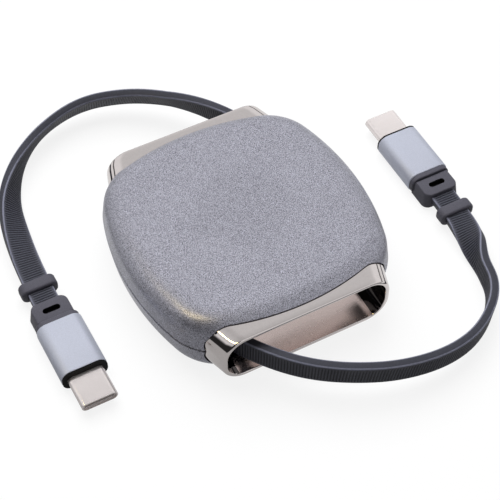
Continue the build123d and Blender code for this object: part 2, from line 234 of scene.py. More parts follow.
def wrap_rings(
    name: str, rings: Sequence[Ring], painted_shades: Sequence[Sequence[float]] = ()
) -> Object:
    """Shape a grid primitive into a closed skin through rings of points.

    Args:
        name: the piece's name.
        rings: rings of as many points each; a ring whose points coincide makes a pole.
        painted_shades: painted shade of each point, ring by ring, kept in its 'groove' attribute;
            below zero it is a painted highlight.

    Returns:
        The new object, with its seam and poles merged.
    """
    columns = len(rings[0])
    rows = len(rings) - 1
    clear_selection()
    bpy.ops.mesh.primitive_grid_add(x_subdivisions=columns, y_subdivisions=rows, size=1.0)
    piece = new_piece(name)
    # the 'groove' attribute holds painted shade and painted highlight, not only the ribs' depth
    marks = piece.data.attributes.new("groove", "FLOAT", "POINT") if painted_shades else None
    for vertex in piece.data.vertices:
        column = round((vertex.co.x + 0.5) * columns) % columns
        row = round((vertex.co.y + 0.5) * rows)
        vertex.co = rings[row][column]
        if marks:
            marks.data[vertex.index].value = painted_shades[row][column]
    close_mesh(piece)
    return piece


def dress(piece: Object, finish: "Finish") -> None:
    """Give a piece one finish in place of what it had."""
    piece.data.materials.clear()
    piece.data.materials.append(finish.material())


def seat(piece: Object, finish: "Finish", node: str) -> None:
    """Dress a piece and let it stand for a node of the housing's body.

    Args:
        piece: the piece, in place.
        finish: its finish.
        node: the CAD node that it replaces.
    """
    dress(piece, finish)
    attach(piece, "housing")
    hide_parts(node)


def unit(value: float) -> float:
    """A value held between 0 and 1."""
    return min(max(value, 0.0), 1.0)


# Outlines: closed plans made of tangent arcs and lines that can be drawn in
@dataclass(frozen=True)
class Span:
    """A stretch of an outline, from one centre to another and from one outward angle to another."""

    start: Pair
    end: Pair
    radius: float
    first: float
    last: float
    steps: int


class Outline:
    """A closed outline of spans, with its points at even steps along each span."""

    def __init__(self, spans: Sequence[Span]) -> None:
        """Lay out the columns of the outline.

        Args:
            spans: the stretches in order, tangent to each other.
        """
        self.columns: list[tuple[float, float, float, float]] = []
        for span in spans:
            for step in range(span.steps):
                share = step / span.steps
                middle_x = span.start[0] + share * (span.end[0] - span.start[0])
                middle_y = span.start[1] + share * (span.end[1] - span.start[1])
                angle = span.first + share * (span.last - span.first)
                self.columns.append((middle_x, middle_y, span.radius, angle))

    def points(self, inset: float = 0.0) -> list[Pair]:
        """Points of the outline, drawn in by an even distance.

        Args:
            inset: the distance in metres; below zero the outline grows.

        Returns:
            One point for each column.
        """
        return [
            (x + (radius - inset) * math.cos(angle), y + (radius - inset) * math.sin(angle))
            for x, y, radius, angle in self.columns
        ]


def rounded_rectangle(
    width: float, height: float, corner: float, run: int, turn: int, rise: int
) -> Outline:
    """Outline of a rectangle with round corners, about its middle.

    Args:
        width: size along the first axis.
        height: size along the second axis.
        corner: radius of the corners.
        run: steps along each side of the width.
        turn: steps round each corner.
        rise: steps along each side of the height.

    Returns:
        The outline, anticlockwise from its right side.
    """
    across, up = width / 2 - corner, height / 2 - corner
    corners = [(across, up), (-across, up), (-across, -up), (across, -up)]
    spans = []
    for number, here in enumerate(corners):
        before = corners[number - 1]
        angle = number * math.pi / 2
        spans.append(Span(before, here, corner, angle, angle, run if number % 2 else rise))
        spans.append(Span(here, here, corner, angle, angle + math.pi / 2, turn))
    return Outline(spans)


# Finishes: procedural materials on shared shader groups
class Socket(Enum):
    """Kinds of socket on a shader group."""

    COLOR = "NodeSocketColor"
    VALUE = "NodeSocketFloat"
    VECTOR = "NodeSocketVector"


def tint(*levels: int) -> Color:
    """Linear colour of a display colour.

    Args:
        levels: red, green and blue from 0 to 255.

    Returns:
        The colour, opaque.
    """
    def linear(level: int) -> float:
        """Linear value of one display level."""
        share = level / 255
        return share / 12.92 if share <= 0.04045 else ((share + 0.055) / 1.055) ** 2.4

    return (*map(linear, levels), 1.0)


@dataclass
class Graph:
    """A shader node tree that is being wired."""

    tree: NodeTree

    def feed(self, node: Node, inputs: Inputs) -> None:
        """Set or link inputs of a node.

        Args:
            node: the node.
            inputs: for a socket's name or number, a plain value or the output that feeds it.
        """
        for key, value in inputs.items():
            if isinstance(value, NodeSocket):
                self.tree.links.new(value, node.inputs[key])
            else:
                node.inputs[key].default_value = value

    def add(self, kind: str, inputs: Inputs | None = None, **values: object) -> Sockets:
        """Add a shader node.

        Args:
            kind: the node's type name without its prefix.
            inputs: for a socket's name or number, a plain value or the output that feeds it.
            values: properties of the node and their values.

        Returns:
            The node's outputs.
        """
        node = self.tree.nodes.new("ShaderNode" + kind)
        for key, value in values.items():
            setattr(node, key, value)
        self.feed(node, inputs or {})
        return node.outputs

    def work_out(self, operation: str, *values: object) -> NodeSocket:
        """A sum on values, each a plain number or an output."""
        return self.add("Math", dict(enumerate(values)), operation=operation)["Value"]

    def along(self, vector: NodeSocket, way: Triple) -> NodeSocket:
        """How far a vector reaches along a way."""
        return self.add("VectorMath", {0: vector, 1: way}, operation="DOT_PRODUCT")["Value"]

    def scaled(self, color: NodeSocket, share: NodeSocket) -> NodeSocket:
        """A colour times a value."""
        return self.add("VectorMath", {0: color, "Scale": share}, operation="SCALE")["Vector"]

    def blended(self, share: NodeSocket, first: object, last: object) -> NodeSocket:
        """A colour between two, each a plain colour or an output."""
        inputs = {"Factor": share, "A": first, "B": last}
        return self.add("Mix", inputs, data_type="RGBA")["Result"]

    def layered(self, share: NodeSocket, below: NodeSocket, above: NodeSocket) -> NodeSocket:
        """One shader laid over another by a share."""
        return self.add("MixShader", {"Fac": share, 1: below, 2: above})["Shader"]

    def ranged(
        self, value: NodeSocket, start: Pair, end: tuple[object, object] = (0.0, 1.0),
        shape: str = "LINEAR",
    ) -> NodeSocket:
        """Carry a value over from one range to another.

        Args:
            value: the value.
            start: the range that it comes from.
            end: the range that it goes to, plain numbers or outputs.
            shape: how it goes from one end to the other.

        Returns:
            The value in its new range.
        """
        inputs = {"Value": value, "From Min": start[0], "From Max": start[1]}
        inputs |= {"To Min": end[0], "To Max": end[1]}
        return self.add("MapRange", inputs, interpolation_type=shape)["Result"]


def open_group(
    name: str, inputs: Sequence[tuple[str, Socket, object]], outputs: Sequence[tuple[str, Socket]]
) -> tuple[Graph, Sockets, Node]:
    """Start a shader group with named sockets.

    Args:
        name: the group's name.
        inputs: name, kind and default value of each input.
        outputs: name and kind of each output.

    Returns:
        The group's graph, what is sent into it, and its output node.
    """
    tree = bpy.data.node_groups.new(name, "ShaderNodeTree")
    for label, kind, value in inputs:
        socket = tree.interface.new_socket(name=label, in_out="INPUT", socket_type=kind.value)
        socket.default_value = value
    for label, kind in outputs:
        tree.interface.new_socket(name=label, in_out="OUTPUT", socket_type=kind.value)
    sent = tree.nodes.new("NodeGroupInput").outputs
    return Graph(tree), sent, tree.nodes.new("NodeGroupOutput")


class Effects:
    """Shader groups that the finishes share, each built once."""

    GREY: Color = (0.5, 0.5, 0.5, 1.0)
    FLAKE_TILT: Triple = (0.61, 0.47, 0.53)
    FLAKE_RANGE: Pair = (0.3, 0.7)
    FLAKE_LEVELS: Pair = (-1.0, 1.0)
    CLOUD_SCALE = 90.0
    CLOUD_GAIN = 0.12
    CLOUD_FALL = -0.06
    BROAD_SCALE = 160.0
    FINE_GAIN = 0.6
    GRAIN_RANGE: Pair = (0.5, 1.1)

    @classmethod
    @cache
    def speckle(cls) -> NodeTree:
        """Fine flakes that lighten and darken a colour.

        Returns:
            A group that gives the speckled colour.
        """
        given = [("Color", Socket.COLOR, cls.GREY)]
        given += [("Scale", Socket.VALUE, 3000.0), ("Spread", Socket.VALUE, 0.2)]
        graph, sent, out = open_group("speckle", given, [("Color", Socket.COLOR)])
        tilt = {"Vector": graph.add("TexCoord")["Object"], "Rotation": cls.FLAKE_TILT}
        place = graph.add("VectorRotate", tilt, rotation_type="EULER_XYZ")["Vector"]
        fine = {"Vector": place, "Scale": sent["Scale"], "Detail": 2.0, "Roughness": 0.7}
        flakes = graph.ranged(graph.add("TexNoise", fine)["Fac"], cls.FLAKE_RANGE, cls.FLAKE_LEVELS)
        broad = {"Vector": place, "Scale": cls.CLOUD_SCALE, "Detail": 3.0}
        cloud = graph.add("TexNoise", broad)["Fac"]
        drift = graph.work_out("MULTIPLY_ADD", cloud, cls.CLOUD_GAIN, cls.CLOUD_FALL)
        both = graph.work_out("ADD", flakes, drift)
        gain = graph.work_out("MULTIPLY_ADD", both, sent["Spread"], 1.0)
        graph.feed(out, {"Color": graph.scaled(sent["Color"], gain)})
        return graph.tree

    @classmethod
    @cache
    def painted_shading(cls) -> NodeTree:
        """Painted shade in the grooves of a ribbed surface and on its narrow sides, with a painted
        highlight along its corners.

        Returns:
            A group that darkens a colour by the painted shade in the surface's 'groove' attribute,
            and lightens it where that is below zero.
        """
        given = [("Color", Socket.COLOR, cls.GREY), ("Shade", Socket.VALUE, 0.5)]
        graph, sent, out = open_group("painted_shading", given, [("Color", Socket.COLOR)])
        marks = graph.add("Attribute", attribute_name="groove")["Fac"]
        lost = graph.work_out("MULTIPLY", marks, sent["Shade"])
        left = graph.work_out("SUBTRACT", 1.0, lost)
        graph.feed(out, {"Color": graph.scaled(sent["Color"], left)})
        return graph.tree

    @classmethod
    @cache
    def grain(cls) -> NodeTree:
        """Fine surface grain that can be drawn out along an axis.

        Returns:
            A group with the grain's height and a roughness that follows it.
        """
        given = [("Scale", Socket.VALUE, 2000.0), ("Stretch", Socket.VECTOR, (1.0, 1.0, 1.0))]
        given += [("Smooth", Socket.VALUE, 0.3), ("Rough", Socket.VALUE, 0.5)]
        taken = [("Height", Socket.VALUE), ("Roughness", Socket.VALUE)]
        graph, sent, out = open_group("grain", given, taken)
        place = graph.add("TexCoord")["Object"]
        stretch = {0: place, 1: sent["Stretch"]}
        drawn = graph.add("VectorMath", stretch, operation="MULTIPLY")["Vector"]
        grit = {"Vector": drawn, "Scale": sent["Scale"], "Detail": 3.0}
        fine = graph.add("TexNoise", grit)["Fac"]
        broad = graph.add("TexNoise", {"Vector": place, "Scale": cls.BROAD_SCALE})["Fac"]
        mixed = graph.work_out("MULTIPLY_ADD", fine, cls.FINE_GAIN, broad)
        level = graph.ranged(mixed, cls.GRAIN_RANGE, (sent["Smooth"], sent["Rough"]))
        graph.feed(out, {"Height": fine, "Roughness": level})
        return graph.tree


@dataclass(frozen=True)
class Finish:
    """A surface finish: a speckled colour, a grain and plain shader values."""

    slot: str
    color: Color
    spread: float
    flake_scale: float
    metallic: float
    smooth: float
    rough: float
    grain_scale: float
    grain_depth: float
    stretch: Triple = (1.0, 1.0, 1.0)
    specular: float = 0.5
    # strength of the painted shade read from a piece's 'groove' attribute
    groove: float = 0.0

    @cache
    def material(self) -> Material:
        """The finish as a material, made on its first use.

        Returns:
            The material that carries the finish's slot name.
        """
        made = bpy.data.materials.new(self.slot)
        stale = bpy.data.materials.get(self.slot)
        if stale is not made:
            stale.name = self.slot + "_cad"
            made.name = self.slot
        made.use_nodes = True
        graph = Graph(made.node_tree)
        inputs = {"Color": self.color, "Scale": self.flake_scale, "Spread": self.spread}
        color = graph.add("Group", inputs, node_tree=Effects.speckle())["Color"]
        # painted shade and painted highlight from the piece's 'groove' attribute
        if self.groove:
            inputs = {"Color": color, "Shade": self.groove}
            color = graph.add("Group", inputs, node_tree=Effects.painted_shading())["Color"]
        inputs = {"Scale": self.grain_scale, "Stretch": self.stretch}
        inputs |= {"Smooth": self.smooth, "Rough": self.rough}
        grain = graph.add("Group", inputs, node_tree=Effects.grain())
        bump = graph.add("Bump", {"Distance": self.grain_depth, "Height": grain["Height"]})
        graph.feed(made.node_tree.nodes["Principled BSDF"], {
            "Base Color": color,
            "Roughness": grain["Roughness"],
            "Normal": bump["Normal"],
            "Metallic": self.metallic,
            "Specular IOR Level": self.specular,
        })
        return made


PAINT = Finish(
    slot="housing_paint", color=tint(161, 161, 172), spread=1.05, flake_scale=6000.0,
    metallic=0.6, smooth=0.3, rough=0.42, grain_scale=5200.0, grain_depth=0.00002,
)
CHROME = Finish(
    slot="collar_chrome", color=tint(228, 221, 219), spread=0.02, flake_scale=1500.0,
    metallic=1.0, smooth=0.03, rough=0.09, grain_scale=900.0, grain_depth=0.0000006,
)
# darker copy of the chrome: painted shade on the recess's round end walls
MOUTH_END_SHADE = replace(CHROME, slot="collar_chrome_painted_shade", color=tint(84, 82, 82))
# satin copy of the chrome for the recess's lower wall: the satin roughness is its own finish, the
# lighter colour is painted light
MOUTH_FLOOR_LIGHTENED = replace(
    CHROME, slot="collar_chrome_satin_lightened", color=tint(252, 240, 236), smooth=0.22, rough=0.3
)
# the cable's colour carries painted shade in the rib grooves and on the narrow sides, and a painted
# highlight on the corners
CABLE = Finish(
    slot="cable_rubber", color=tint(74, 75, 85), spread=0.12, flake_scale=2600.0,
    metallic=0.0, smooth=0.4, rough=0.56, grain_scale=3600.0, grain_depth=0.000008,
    specular=0.22, groove=0.72,
)
REEL = Finish(
    slot="reel_plastic", color=tint(48, 48, 52), spread=0.08, flake_scale=900.0,
    metallic=0.0, smooth=0.4, rough=0.55, grain_scale=1400.0, grain_depth=0.00001,
)
PAWL = Finish(
    slot="pawl_plastic", color=tint(205, 203, 196), spread=0.05, flake_scale=900.0,
    metallic=0.0, smooth=0.35, rough=0.5, grain_scale=1400.0, grain_depth=0.00001,
)
SPRING = Finish(
    slot="spring_steel", color=tint(150, 150, 154), spread=0.1, flake_scale=2000.0,
    metallic=1.0, smooth=0.25, rough=0.4, grain_scale=3000.0, grain_depth=0.000004,
    stretch=(1.0, 1.0, 0.05),
)
SCREW = Finish(
    slot="screw_steel", color=tint(175, 176, 180), spread=0.06, flake_scale=2500.0,
    metallic=1.0, smooth=0.25, rough=0.4, grain_scale=3000.0, grain_depth=0.000003,
)
SLEEVE = Finish(
    slot="sleeve_aluminium", color=tint(184, 188, 202), spread=0.08, flake_scale=5000.0,
    metallic=0.4, smooth=0.46, rough=0.6, grain_scale=6000.0, grain_depth=0.000006,
    stretch=(1.0, 0.3, 1.0),
)
INSERT = Finish(
    slot="insert_plastic", color=tint(12, 12, 13), spread=0.1, flake_scale=1500.0,
    metallic=0.0, smooth=0.5, rough=0.7, grain_scale=2500.0, grain_depth=0.000004, specular=0.15,
)
STEEL = Finish(
    slot="plug_steel", color=tint(246, 238, 236), spread=0.02, flake_scale=3000.0,
    metallic=0.72, smooth=0.12, rough=0.2, grain_scale=3500.0, grain_depth=0.0000006,
    stretch=(1.0, 0.1, 1.0),
)
# pale plastic, its colour painted lighter still against the shade inside the connector
LINER_LIGHTENED = Finish(
    slot="liner_plastic", color=tint(246, 240, 238), spread=0.05, flake_scale=1500.0,
    metallic=0.0, smooth=0.45, rough=0.6, grain_scale=2500.0, grain_depth=0.000004,
)
GOLD = Finish(
    slot="contact_gold", color=tint(214, 176, 96), spread=0.05, flake_scale=4000.0,
    metallic=1.0, smooth=0.2, rough=0.35, grain_scale=4000.0, grain_depth=0.000002,
)
BOOT = Finish(
    slot="boot_rubber", color=tint(80, 79, 88), spread=0.1, flake_scale=3000.0,
    metallic=0.0, smooth=0.5, rough=0.68, grain_scale=3800.0, grain_depth=0.000012, specular=0.3,
)
FINISHES = (
    PAINT, CHROME, CABLE, REEL, PAWL, SPRING, SCREW, SLEEVE, INSERT, STEEL, LINER_LIGHTENED, GOLD, BOOT
)


# Collars: chromed mouths that taper back into the housing
@dataclass
class Collar:
    """One chromed mouth, drawn for the front and turned about Z for the rear."""

    mouth: Mouth
    middle: float = 8.6 * MM
    mouth_at: float = 29.4 * MM
    width: float = 40.0 * MM
    height: float = 13.1 * MM
    corner: float = 5.4 * MM
    taper: float = math.radians(18.0)
    wall: float = 0.9 * MM
    depth: float = 9.4 * MM
    rim_round: float = 0.42 * MM
    rim_lead: float = 1.68 * MM
    inner_round: float = 0.294 * MM
    recess: float = 5.2 * MM
    back_wall: float = 0.5 * MM
    door: float = 8.6 * MM
    seam: float = 0.26 * MM
    end_turn: float = 0.4
    run: int = 24
    rise: int = 6
    turn: int = 24
    rim_steps: int = 4

    @property
    def label(self) -> str:
        """The mouth's place as a word."""
        return self.mouth.name.lower()

    def ring(self, at: float, inset: float, tapered: bool = True) -> Ring:
        """A ring of the collar at a distance from the housing's middle.

        Args:
            at: the distance along the way that the mouth faces.
            inset: how far the ring lies inside the collar's outside.
            tapered: whether the ring follows the outside's taper.

        Returns:
            Points in the row frame, for the front mouth.
        """
        spare = (self.mouth_at - at) * math.tan(self.taper) if tapered else 0.0
        wide = self.width + 2 * spare
        plan = rounded_rectangle(wide, self.height, self.corner, self.run, self.turn, self.rise)
        return [Vector((x, -at, self.middle + z)) for x, z in plan.points(inset)]

    def pole(self, at: float) -> Ring:
        """A ring drawn together at the mouth's axis."""
        return [Vector((0.0, -at, self.middle))] * (2 * self.run + 2 * self.rise + 4 * self.turn)

    def turned(self, piece: Object) -> Object:
        """Turn a piece's mesh from the front mouth to this one."""
        rotate(piece, math.radians(self.mouth.value), "Z")
        return piece

    def cutter(self) -> Object:
        """The form that this collar takes out of the housing, with its seam.

        Returns:
            A closed form that reaches past the mouth.
        """
        far, near = self.mouth_at + self.depth, self.mouth_at - self.depth - self.seam
        sides = [self.ring(near, -self.seam), self.ring(far, -self.seam)]
        return self.turned(wrap_rings("collar_cutter", [self.pole(near), *sides, self.pole(far)]))

    def build(self) -> Object:
        """Model the collar as one closed shell with its recess and its cable door.

        Returns:
            The collar, in place.
        """
        rim, back = self.mouth_at, self.mouth_at - self.depth
        floor = rim - self.recess
        behind = floor - self.back_wall
        rings = [self.pole(behind), self.ring(behind, self.wall), self.ring(back, self.wall)]
        rings += [self.ring(back, 0.0), self.ring(rim - self.rim_lead, 0.0)]
        angles = [step / self.rim_steps * math.pi / 2 for step in range(self.rim_steps + 1)]
        for angle in angles:
            lift, draw = math.sin(angle), 1 - math.cos(angle)
            rings.append(self.ring(rim - self.rim_round * (1 - lift), self.rim_round * draw))
        for angle in angles:
            at = rim - self.inner_round * (1 - math.cos(angle))
            inset = self.wall - self.inner_round * (1 - math.sin(angle))
            rings.append(self.ring(at, inset, tapered=False))
        rings += [self.ring(floor, self.wall, tapered=False), self.pole(floor)]
        piece = wrap_rings(self.label + "_collar_chrome", rings)
        spare = self.wall / 4
        inner_half = self.width / 2 - self.wall
        inner_height = self.height - 2 * self.wall
        size = (self.door + 2 * spare, 3 * self.back_wall, inner_height + spare / 2)
        middle = (self.door / 2 - inner_half - spare, -(floor + behind) / 2, self.middle)
        cut_away(piece, add_box("door_cutter", size, middle))
        self.turned(piece)
        smooth(piece)
        return piece

    def paint_mouth_shading(self, piece: Object) -> None:
        """Paint shade on the recess's round end walls with a darker chrome, and give its lower wall
        a satin chrome whose colour is painted lighter.

        Args:
            piece: the collar, in place and dressed.
        """
        piece.data.materials.append(MOUTH_END_SHADE.material())
        piece.data.materials.append(MOUTH_FLOOR_LIGHTENED.material())
        for face in piece.data.polygons:
            inward = -face.normal.x * math.copysign(1.0, face.center.x)
            depth = self.mouth_at - abs(face.center.y)
            if not self.rim_round < depth < self.recess:
                continue
            # round end walls: painted shade
            if inward > self.end_turn:
                face.material_index = 1
            # lower wall: satin, with colour painted lighter
            elif face.normal.z > self.end_turn and face.center.z < self.middle:
                face.material_index = 2

    def finish(self) -> Object:
        """Build the collar, dress it and set it in the housing.

        Returns:
            The collar.
        """
        piece = self.build()
        seat(piece, CHROME, self.label + "_collar")
        self.paint_mouth_shading(piece)
        return piece


# Housing: two shells that meet at a fine parting line
@dataclass
class Housing:
    """The round-cornered housing, made of a domed top shell and a flat bottom shell."""

    width: float = 58.0 * MM
    length: float = 58.4 * MM
    height: float = 17.2 * MM
    bulge: float = 60.0 * MM
    corner: float = 13.2 * MM
    draft: float = math.radians(7.0)
    edge: float = 5.6 * MM
    crown: float = 0.35 * MM
    crown_power: int = 3
    wall: float = 1.6 * MM
    groove: float = 0.6 * MM
    groove_floor: float = 0.1 * MM
    groove_half: float = 0.2 * MM
    lip: float = 0.12 * MM
    lip_end: float = 0.4 * MM
    crease: float = 30.0
    side_steps: int = 44
    corner_steps: int = 30
    draft_steps: int = 8
    edge_steps: int = 24
    face_steps: int = 16
    lining_edge_steps: int = 8
    lining_face_steps: int = 6
    collars: list[Collar] = field(default_factory=list)

    @property
    def middle(self) -> float:
        """Height of the parting line."""
        return self.height / 2

    def plan(self) -> Outline:
        """Outline at the parting line: four bulged sides joined by round corners.

        Returns:
            The outline, anticlockwise from the right side's lower end.
        """
        side_x, side_y = self.width / 2 - self.bulge, self.length / 2 - self.bulge
        reach = self.bulge - self.corner
        half_gap = math.hypot(side_x, side_y) / 2
        lean = math.atan2(-side_x, -side_y)
        out = math.sqrt(reach**2 - half_gap**2)
        corner_x = side_x / 2 + out * math.cos(lean)
        corner_y = side_y / 2 + out * math.sin(lean)
        turn = math.atan2(corner_y, corner_x - side_x)
        rest = math.atan2(corner_y - side_y, corner_x)
        middles: list[Pair] = []
        sides = ((side_x, 0.0), (0.0, side_y), (-side_x, 0.0), (0.0, -side_y))
        for side, (right, up) in zip(sides, ((1, 1), (-1, 1), (-1, -1), (1, -1))):
            middles += [side, (right * corner_x, up * corner_y)]
        half = math.pi
        marks = [-turn, turn, rest, half - rest, half - turn]
        marks += [half + turn, half + rest, 2 * half - rest, 2 * half - turn]
        spans = []
        for number, middle in enumerate(middles):
            on_side = number % 2 == 0
            radius = self.bulge if on_side else self.corner
            steps = self.side_steps if on_side else self.corner_steps
            spans.append(Span(middle, middle, radius, marks[number], marks[number + 1], steps))
        return Outline(spans)

    def profile(self) -> list[Pair]:
        """Section of a shell's outside, from the parting groove to the edge of its face.

        Returns:
            How far each level lies inside the plan, and its height over the parting line.
        """
        slope = math.tan(self.draft)
        section = [
            (self.groove, self.groove_floor),
            (self.lip, self.groove_half),
            (self.groove_half * slope, self.lip_end),
        ]
        round_from = self.middle - self.edge + self.edge * math.sin(self.draft)
        for step in range(1, self.draft_steps):
            level = self.lip_end + (round_from - self.lip_end) * step / self.draft_steps
            section.append((level * slope, level))
        return section + self.rounding(self.edge, self.edge_steps)

    def rounding(self, radius: float, steps: int) -> list[Pair]:
        """Arc between a shell's side and its face, about the middle of the outer rounding.

        Args:
            radius: radius of the arc.
            steps: stretches along it.

        Returns:
            How far each point lies inside the plan, and its height over the parting line.
        """
        level = self.middle - self.edge
        side_end = (level + self.edge * math.sin(self.draft)) * math.tan(self.draft)
        inset = side_end + self.edge * math.cos(self.draft)
        made = []
        for step in range(steps + 1):
            angle = self.draft + (math.pi / 2 - self.draft) * step / steps
            made.append((inset - radius * math.cos(angle), level + radius * math.sin(angle)))
        return made

    def shell(self, name: str, up: int, crown: float) -> Object:
        """One shell with its wall, cut clear of both collars.

        Args:
            name: the piece's name.
            up: 1 for the top shell and -1 for the bottom one.
            crown: how far its face falls towards the edge.

        Returns:
            The closed shell.
        """
        plan = self.plan()
        outside = self.profile()
        inside = [(self.wall, self.groove_floor)]
        inside += self.rounding(self.edge - self.wall, self.lining_edge_steps)

        def lift(x: float, y: float, level: float) -> Vector:
            """Place a point of the shell, with the crown's fall."""
            out = (x * x + y * y) / (self.width / 2) ** 2
            fall = crown * out * (level / self.middle) ** self.crown_power
            return Vector((x, y, self.middle + up * (level - fall)))

        def level_ring(inset: float, level: float, share: float = 1.0) -> Ring:
            """A ring of the plan at a level, drawn in by a distance and then by a share."""
            return [lift(x * share, y * share, level) for x, y in plan.points(inset)]

        def skin(section: Sequence[Pair], steps: int) -> list[Ring]:
            """Rings along a section and over the face at its end, to the face's middle."""
            shares = [1 - step / steps for step in range(1, steps + 1)]
            face = [level_ring(*section[-1], share) for share in shares]
            return [level_ring(*point) for point in section] + face

        lining = skin(inside, self.lining_face_steps)
        piece = wrap_rings(name, lining[::-1] + skin(outside, self.face_steps))
        for collar in self.collars:
            cut_away(piece, collar.cutter())
        close_mesh(piece)
        smooth(piece, self.crease)
        return piece

    def finish(self) -> list[Object]:
        """Build both shells, dress them and set them on the frame.

        Returns:
            The top shell and the bottom shell.
        """
        made = []
        for name, up, crown in (("top_shell", 1, self.crown), ("bottom_shell", -1, 0.0)):
            piece = self.shell(name + "_painted", up, crown)
            seat(piece, PAINT, name)
            made.append(piece)
        return made


# Plugs: satin sleeve, black insert, steel connector, boot and bead
@dataclass
class Bar:
    """A bar along Y with round long edges, about its own axis."""

    width: float
    height: float
    corner: float
    steps: int = 12
    slack: float = 0.05

    def build(self, name: str, length: float) -> Object:
        """Model the bar from a cube.

        Args:
            name: the piece's name.
            length: size along Y, from zero forwards.

        Returns:
            The bar.
        """
        piece = add_box(name, (self.width, length, self.height), (0.0, length / 2, 0.0))
        long_edge = length / 2
        bevel(piece, lambda first, last: abs(first.y - last.y) > long_edge, self.corner, self.steps)
        close_mesh(piece)
        return piece

    def outside(self, point: Vector) -> bool:
        """Whether a point lies on the bar's outside and not on a wall further in.

        Args:
            point: the point.

        Returns:
            True on the outside.
        """
        across = abs(point.x) - self.width / 2 + self.corner
        up = abs(point.z) - self.height / 2 + self.corner
        beyond = math.hypot(max(across, 0.0), max(up, 0.0)) + min(max(across, up), 0.0)
        return abs(beyond - self.corner) < self.corner * self.slack

    def bore(self, piece: Object, wall: float) -> None:
        """Open the bar along its length, leaving an even wall.

        Args:
            piece: the bar.
            wall: the wall that is left.
        """
        pick_faces(piece, lambda face: abs(face.normal.y) > FACING)
        bpy.ops.mesh.inset(thickness=wall, depth=0.0)
        bpy.ops.mesh.bridge_edge_loops()
        close_edit()

    def ease(self, piece: Object, places: Sequence[float], size: float, steps: int) -> None:
        """Round the bar's outer edges at given distances along it.

        Args:
            piece: the bar.
            places: the distances along Y.
            size: radius of the rounding.
            steps: faces across the rounding.
        """
        def on_rim(first: Vector, last: Vector) -> bool:
            """Whether an edge lies on an outer rim."""
            level = any(abs(first.y - at) + abs(last.y - at) < TOUCH for at in places)
            return level and self.outside(first) and self.outside(last)

        bevel(piece, on_rim, size, steps)


